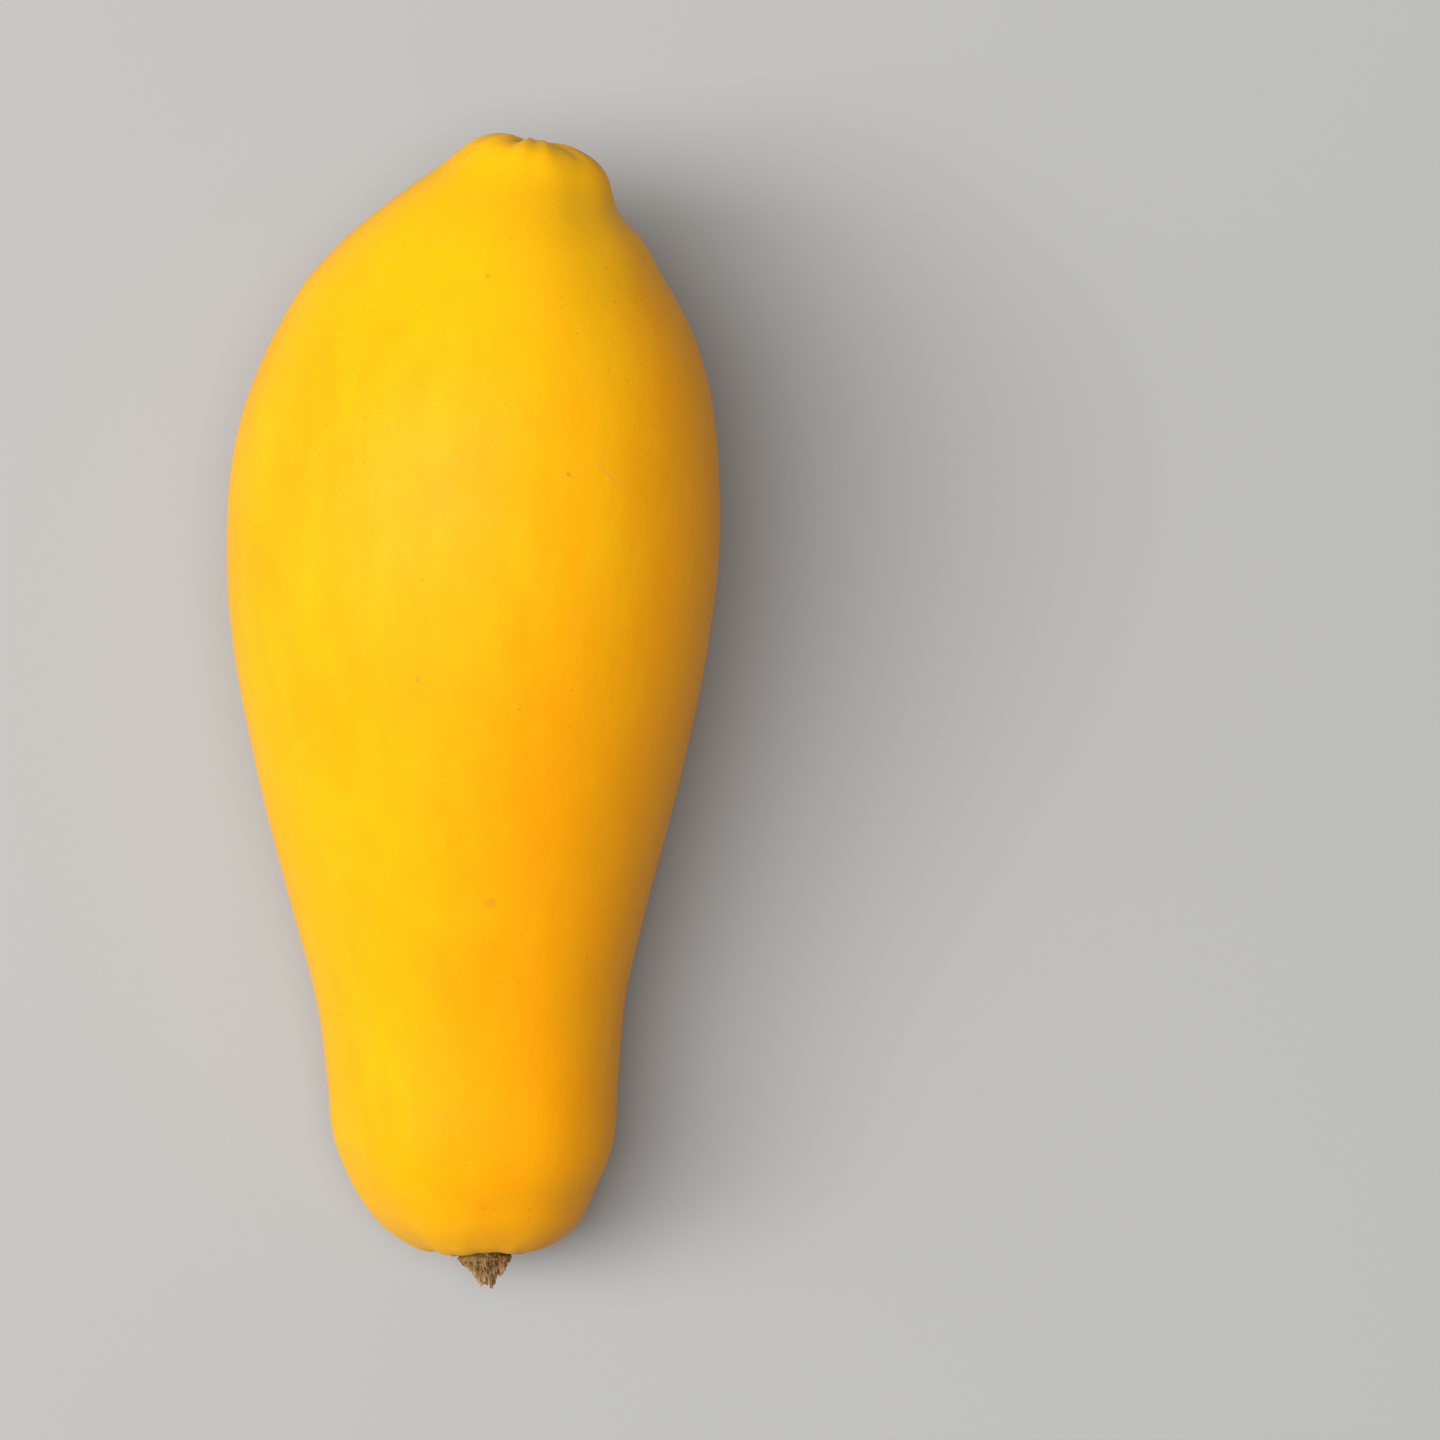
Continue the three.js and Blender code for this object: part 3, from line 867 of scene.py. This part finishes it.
class PAPAYA_OT_stalk(bpy.types.Operator):
    """Make the torn stub of the stalk out of bundles of fibre"""

    bl_idname = "papaya.stalk"
    bl_label = "Stalk"

    def execute(self, context):
        settings = context.scene.papaya_stalk
        show("stem_stub", stalk_mesh(), stalk_finish(settings), "stem")
        return {"FINISHED"}


# ---- Stage --------------------------------------------------------------------------

FLOOR_HALF = 2.0  # half the side of the square floor
FRAME_WIDTH = 0.2376  # width of the view at the height of the fruit's axis
CAMERA_OVER = (0.0404, -0.01415)
SENSOR_WIDTH = 36.0  # in millimetres, as the focal length is
KEY_AT = Vector((-0.66, 0.00, 1.81))
KEY_SIZE = (0.8, 2.4)
FILL_AT = Vector((-2.40, 0.00, 0.80))
FILL_SIZE = (1.2, 2.8)
WHITE = (1.0, 1.0, 1.0)


def add_floor(colour):
    """Square floor under the fruit."""
    corners = [(x * FLOOR_HALF, y * FLOOR_HALF, 0) for x, y in ((-1, -1), (1, -1), (1, 1), (-1, 1))]
    mesh = bpy.data.meshes.new("studio_floor")
    mesh.from_pydata(corners, [], [(0, 1, 2, 3)])
    mesh.materials.append(floor_finish(colour))
    floor = bpy.data.objects.new("studio_floor", mesh)
    bpy.context.scene.collection.objects.link(floor)


def add_area_light(name, place, size, power):
    """Soft light that points at the origin and isn't seen itself."""
    light = bpy.data.lights.new(name, "AREA")
    light.shape = "RECTANGLE"
    light.size, light.size_y = size
    light.energy = power
    lamp = bpy.data.objects.new(name, light)
    lamp.location = place
    lamp.rotation_euler = (-place).to_track_quat("-Z", "Y").to_euler()
    lamp.visible_camera = False
    bpy.context.scene.collection.objects.link(lamp)


def set_sky(strength):
    """Even white light from all round."""
    world = bpy.data.worlds.new("studio_sky")
    world.use_nodes = True
    sky = world.node_tree.nodes["Background"]
    sky.inputs["Color"].default_value = rgba(WHITE)
    sky.inputs["Strength"].default_value = strength
    bpy.context.scene.world = world


def add_camera(height):
    """Camera that looks straight down from a height over the fruit's axis."""
    lens = bpy.data.cameras.new("camera")
    lens.sensor_width = SENSOR_WIDTH
    lens.lens = SENSOR_WIDTH * height / FRAME_WIDTH
    camera = bpy.data.objects.new("camera", lens)
    camera.location = (*CAMERA_OVER, AXIS_HEIGHT + height)
    bpy.context.scene.collection.objects.link(camera)
    bpy.context.scene.camera = camera


class PAPAYA_OT_stage(bpy.types.Operator):
    """Make the plain floor, the soft lights and the camera above the fruit"""

    bl_idname = "papaya.stage"
    bl_label = "Stage"

    def execute(self, context):
        settings = context.scene.papaya_stage
        add_floor(settings.floor)
        add_area_light("key_light", KEY_AT, KEY_SIZE, settings.key_power)
        add_area_light("fill_light", FILL_AT, FILL_SIZE, settings.fill_power)
        set_sky(settings.sky)
        add_camera(settings.camera_height)
        context.scene.view_settings.view_transform = "Standard"
        return {"FINISHED"}


# ---- Add-on -------------------------------------------------------------------------

class PAPAYA_PT_panel(bpy.types.Panel):
    """Sizes, colours and the operators that make each piece"""

    bl_idname = "PAPAYA_PT_panel"
    bl_label = "Papaya"
    bl_space_type = "VIEW_3D"
    bl_region_type = "UI"
    bl_category = "Papaya"

    def draw(self, context):
        for name, (_, operator) in GROUPS.items():
            settings = getattr(context.scene, "papaya_" + name)
            box = self.layout.box()
            box.operator(operator.bl_idname)
            for key in settings.bl_rna.properties.keys():
                if key not in {"rna_type", "name"}:
                    box.prop(settings, key)


GROUPS = {
    "fruit": (PapayaFruitSettings, PAPAYA_OT_fruit),
    "calyx": (PapayaCalyxSettings, PAPAYA_OT_calyx),
    "stalk": (PapayaStalkSettings, PAPAYA_OT_stalk),
    "stage": (PapayaStageSettings, PAPAYA_OT_stage),
}


def register():
    for name, (settings, operator) in GROUPS.items():
        bpy.utils.register_class(settings)
        bpy.utils.register_class(operator)
        setattr(bpy.types.Scene, "papaya_" + name, PointerProperty(type=settings))
    bpy.utils.register_class(PAPAYA_PT_panel)


def unregister():
    bpy.utils.unregister_class(PAPAYA_PT_panel)
    for name, (settings, operator) in GROUPS.items():
        delattr(bpy.types.Scene, "papaya_" + name)
        bpy.utils.unregister_class(operator)
        bpy.utils.unregister_class(settings)


def main():
    """Makes every piece and the stage."""
    register()
    bpy.ops.papaya.fruit()
    bpy.ops.papaya.calyx()
    bpy.ops.papaya.stalk()
    bpy.ops.papaya.stage()


if __name__ == "__main__":
    main()
